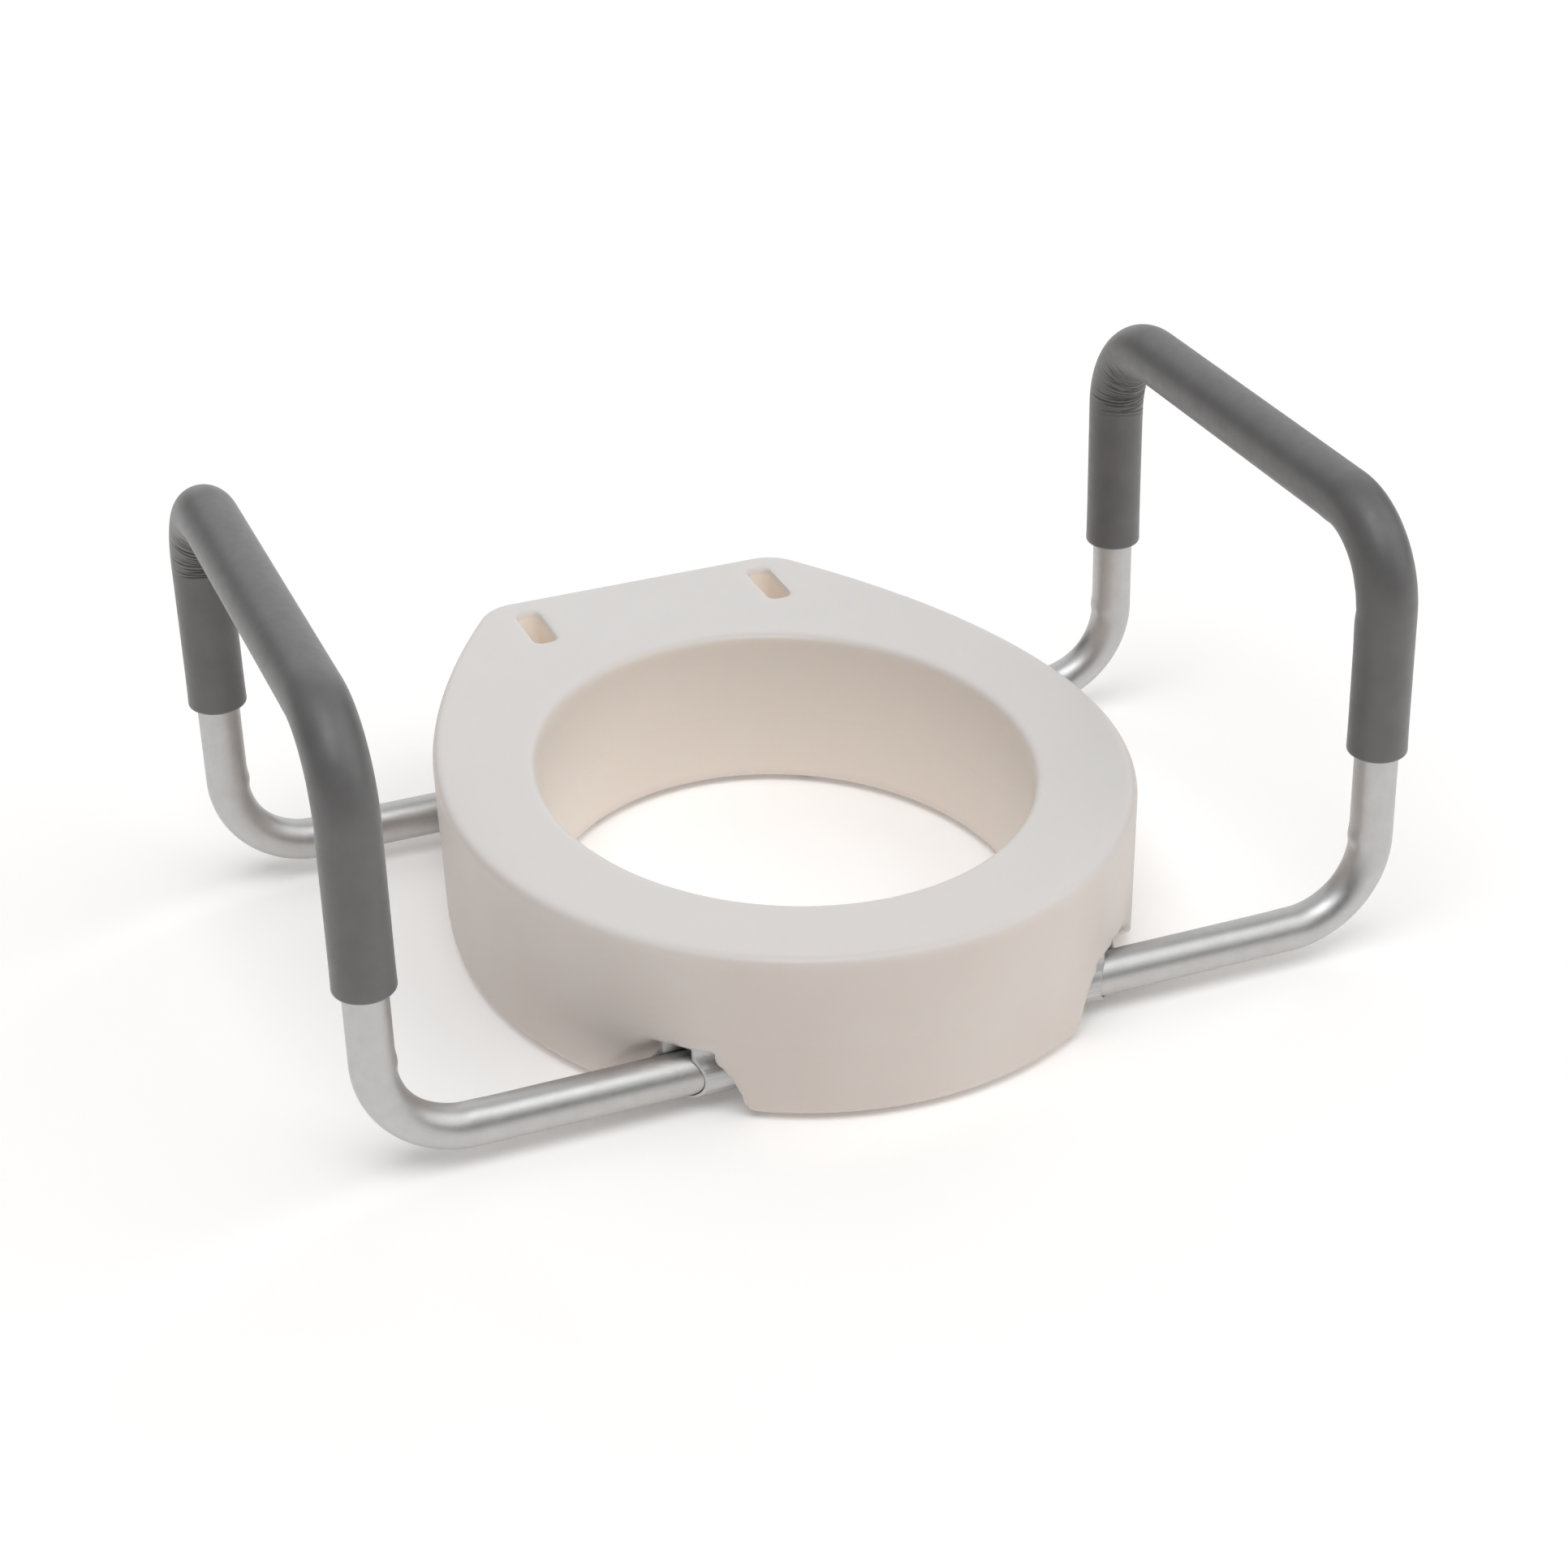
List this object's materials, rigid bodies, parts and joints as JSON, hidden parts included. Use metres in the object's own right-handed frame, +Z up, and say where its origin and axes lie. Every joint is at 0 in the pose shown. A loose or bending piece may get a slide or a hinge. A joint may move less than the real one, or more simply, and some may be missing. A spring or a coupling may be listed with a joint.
{
  "type": "raised toilet seat",
  "caption": "Hollow moulded riser that lifts a toilet seat, with an oval opening, slots for the seat's hinge bolts and a removable padded metal arm on each side.",
  "frame": {"origin": "under the middle of the whole object's box, level with the bottom of the rubber pads", "axes": "+X towards the right-hand arm as seen from the front, +Y towards the hinge end with the bolt slots, +Z up"},
  "size_m": [0.5588, 0.443, 0.2506],
  "materials": {
    "seat_plastic": "warm off-white blow-moulded polyethylene, fine satin surface",
    "tube_aluminium": "satin anodised",
    "sleeve_aluminium": "plain extruded",
    "grip_foam": "dark grey closed-cell foam with a fine matt skin",
    "screw_steel": "bright zinc plated",
    "button_steel": "polished stainless steel",
    "spring_steel": "plain spring steel strip",
    "pad_rubber": "matt black"
  },
  "bodies": {
    "seat": {"seat_shell": "seat_plastic", "left_front_sleeve": "sleeve_aluminium", "left_rear_sleeve": "sleeve_aluminium", "left_front_inner_screw": "screw_steel", "left_front_outer_screw": "screw_steel", "left_rear_inner_screw": "screw_steel", "left_rear_outer_screw": "screw_steel", "left_front_pad": "pad_rubber", "left_rear_pad": "pad_rubber", "right_front_sleeve": "sleeve_aluminium", "right_rear_sleeve": "sleeve_aluminium", "right_front_inner_screw": "screw_steel", "right_front_outer_screw": "screw_steel", "right_rear_inner_screw": "screw_steel", "right_rear_outer_screw": "screw_steel", "right_front_pad": "pad_rubber", "right_rear_pad": "pad_rubber"},
    "left_arm": {"left_arm_tube": "tube_aluminium", "left_foam_grip": "grip_foam", "left_front_clip_spring": "spring_steel", "left_rear_clip_spring": "spring_steel"},
    "right_arm": {"right_arm_tube": "tube_aluminium", "right_foam_grip": "grip_foam", "right_front_clip_spring": "spring_steel", "right_rear_clip_spring": "spring_steel"},
    "left_front_button": {"left_front_snap_button": "button_steel"},
    "left_rear_button": {"left_rear_snap_button": "button_steel"},
    "right_front_button": {"right_front_snap_button": "button_steel"},
    "right_rear_button": {"right_rear_snap_button": "button_steel"}
  },
  "joints": [
    {"name": "left_arm_pull", "type": "slide", "parent": "seat", "child": "left_arm", "axis": [-1, 0, 0], "range_m": [0, 0.09], "deforming": ["left_front_snap_button", "left_rear_snap_button"]},
    {"name": "right_arm_pull", "type": "slide", "parent": "seat", "child": "right_arm", "axis": [1, 0, 0], "range_m": [0, 0.09], "deforming": ["right_front_snap_button", "right_rear_snap_button"]},
    {"name": "left_front_button_press", "type": "slide", "parent": "left_arm", "child": "left_front_button", "axis": [0, 0, 1], "range_m": [0, 0.0042], "stiffness_N_per_m": 2000, "springref_m": -0.002, "deforming": ["left_front_clip_spring"]},
    {"name": "left_rear_button_press", "type": "slide", "parent": "left_arm", "child": "left_rear_button", "axis": [0, 0, 1], "range_m": [0, 0.0042], "stiffness_N_per_m": 2000, "springref_m": -0.002, "deforming": ["left_rear_clip_spring"]},
    {"name": "right_front_button_press", "type": "slide", "parent": "right_arm", "child": "right_front_button", "axis": [0, 0, 1], "range_m": [0, 0.0042], "stiffness_N_per_m": 2000, "springref_m": -0.002, "deforming": ["right_front_clip_spring"]},
    {"name": "right_rear_button_press", "type": "slide", "parent": "right_arm", "child": "right_rear_button", "axis": [0, 0, 1], "range_m": [0, 0.0042], "stiffness_N_per_m": 2000, "springref_m": -0.002, "deforming": ["right_rear_clip_spring"]}
  ]
}
